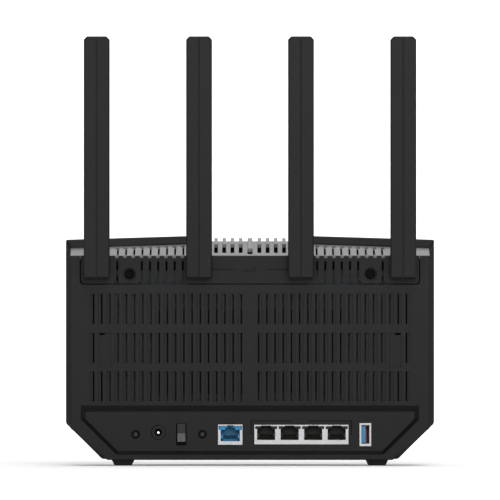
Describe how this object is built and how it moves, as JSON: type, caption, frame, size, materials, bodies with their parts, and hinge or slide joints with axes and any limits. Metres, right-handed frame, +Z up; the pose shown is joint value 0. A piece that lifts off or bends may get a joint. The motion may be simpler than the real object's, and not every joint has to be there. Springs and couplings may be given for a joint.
{
  "type": "wireless router",
  "caption": "Upright wireless router with a slotted back, recessed sockets, a ribbed silver spine and tall paddle antennas that swivel and tilt.",
  "frame": {"origin": "middle of the footprint, on the surface the feet stand on", "axes": "+Z up; -Y is the back with the sockets; +X is on the right seen from behind"},
  "size_m": [0.2442, 0.1014, 0.2833],
  "materials": {
    "black_shell": "fine-grained moulded plastic",
    "bracket_plastic": "fine-grained moulded plastic",
    "antenna_plastic": "fine-grained moulded plastic",
    "coax_jacket": "smooth jacket",
    "circuit_board": "solder mask",
    "silver_plastic": "satin silver-grey paint",
    "steel_sheet": "nickel-plated sheet",
    "screw_steel": "plain",
    "heat_sink_aluminium": "satin",
    "socket_blue": "moulded",
    "socket_black": "moulded",
    "control_black": "satin",
    "foot_rubber": "matte",
    "light_guide": "clear, frosted"
  },
  "bodies": {
    "root": {"antenna_1_coax_lead": "coax_jacket", "antenna_2_coax_lead": "coax_jacket", "antenna_3_coax_lead": "coax_jacket", "antenna_4_coax_lead": "coax_jacket", "antenna_bracket": "bracket_plastic", "board_screw_1": "screw_steel", "board_screw_2": "screw_steel", "board_screw_3": "screw_steel", "board_screw_4": "screw_steel", "bracket_screw_left": "screw_steel", "bracket_screw_right": "screw_steel", "dc_inlet_body": "socket_black", "dc_inlet_pin": "steel_sheet", "foot_front_left": "foot_rubber", "foot_front_right": "foot_rubber", "foot_rear_left": "foot_rubber", "foot_rear_right": "foot_rubber", "front_shell": "black_shell", "front_spine": "silver_plastic", "heat_sink": "heat_sink_aluminium", "lan_jack_insert_1": "socket_black", "lan_jack_insert_2": "socket_black", "lan_jack_insert_3": "socket_black", "lan_jack_insert_4": "socket_black", "lan_jack_shell": "steel_sheet", "main_board": "circuit_board", "power_switch_body": "socket_black", "rear_cover": "black_shell", "reset_tact_switch": "socket_black", "shield_can_left": "steel_sheet", "shield_can_right": "steel_sheet", "status_light_guide": "light_guide", "top_grille_left": "silver_plastic", "top_grille_right": "silver_plastic", "usb_shell": "steel_sheet", "usb_tongue": "socket_blue", "wan_jack_insert": "socket_blue", "wan_jack_shell": "steel_sheet", "wing_panel_left": "black_shell", "wing_panel_right": "black_shell", "wps_tact_switch": "socket_black"},
    "antenna_1_base": {"antenna_1_hub": "antenna_plastic"},
    "antenna_1_blade": {"antenna_1_rear_shell": "antenna_plastic", "antenna_1_front_shell": "antenna_plastic", "antenna_1_element": "circuit_board"},
    "antenna_2_base": {"antenna_2_hub": "antenna_plastic"},
    "antenna_2_blade": {"antenna_2_rear_shell": "antenna_plastic", "antenna_2_front_shell": "antenna_plastic", "antenna_2_element": "circuit_board"},
    "antenna_3_base": {"antenna_3_hub": "antenna_plastic"},
    "antenna_3_blade": {"antenna_3_rear_shell": "antenna_plastic", "antenna_3_front_shell": "antenna_plastic", "antenna_3_element": "circuit_board"},
    "antenna_4_base": {"antenna_4_hub": "antenna_plastic"},
    "antenna_4_blade": {"antenna_4_rear_shell": "antenna_plastic", "antenna_4_front_shell": "antenna_plastic", "antenna_4_element": "circuit_board"},
    "power_rocker": {"power_rocker": "control_black"},
    "wps_button": {"wps_button": "control_black"},
    "reset_button": {"reset_button": "control_black"}
  },
  "joints": [
    {"name": "antenna_1_swivel", "type": "hinge", "parent": "root", "child": "antenna_1_base", "pos_m": [-0.1011, -0.03685, 0.1292], "axis": [0, 1, 0], "range_deg": [-90, 15]},
    {"name": "antenna_1_tilt", "type": "hinge", "parent": "antenna_1_base", "child": "antenna_1_blade", "pos_m": [-0.1011, -0.04535, 0.1292], "axis": [1, 0, 0], "range_deg": [0, 90]},
    {"name": "antenna_2_swivel", "type": "hinge", "parent": "root", "child": "antenna_2_base", "pos_m": [-0.0336, -0.03685, 0.1292], "axis": [0, 1, 0], "range_deg": [-15, 15]},
    {"name": "antenna_2_tilt", "type": "hinge", "parent": "antenna_2_base", "child": "antenna_2_blade", "pos_m": [-0.0336, -0.04535, 0.1292], "axis": [1, 0, 0], "range_deg": [0, 90]},
    {"name": "antenna_3_swivel", "type": "hinge", "parent": "root", "child": "antenna_3_base", "pos_m": [0.0336, -0.03685, 0.1292], "axis": [0, 1, 0], "range_deg": [-15, 15]},
    {"name": "antenna_3_tilt", "type": "hinge", "parent": "antenna_3_base", "child": "antenna_3_blade", "pos_m": [0.0336, -0.04535, 0.1292], "axis": [1, 0, 0], "range_deg": [0, 90]},
    {"name": "antenna_4_swivel", "type": "hinge", "parent": "root", "child": "antenna_4_base", "pos_m": [0.1011, -0.03685, 0.1292], "axis": [0, 1, 0], "range_deg": [-15, 90]},
    {"name": "antenna_4_tilt", "type": "hinge", "parent": "antenna_4_base", "child": "antenna_4_blade", "pos_m": [0.1011, -0.04535, 0.1292], "axis": [1, 0, 0], "range_deg": [0, 90]},
    {"name": "power_rocker_tip", "type": "hinge", "parent": "root", "child": "power_rocker", "pos_m": [-0.0453, -0.03035, 0.0207], "axis": [1, 0, 0], "range_deg": [0, 24]},
    {"name": "wps_button_press", "type": "slide", "parent": "root", "child": "wps_button", "axis": [0, 1, 0], "range_m": [0, 0.0008], "stiffness_N_per_m": 300, "springref_m": -0.001},
    {"name": "reset_button_press", "type": "slide", "parent": "root", "child": "reset_button", "axis": [0, 1, 0], "range_m": [0, 0.0008], "stiffness_N_per_m": 300, "springref_m": -0.001}
  ]
}
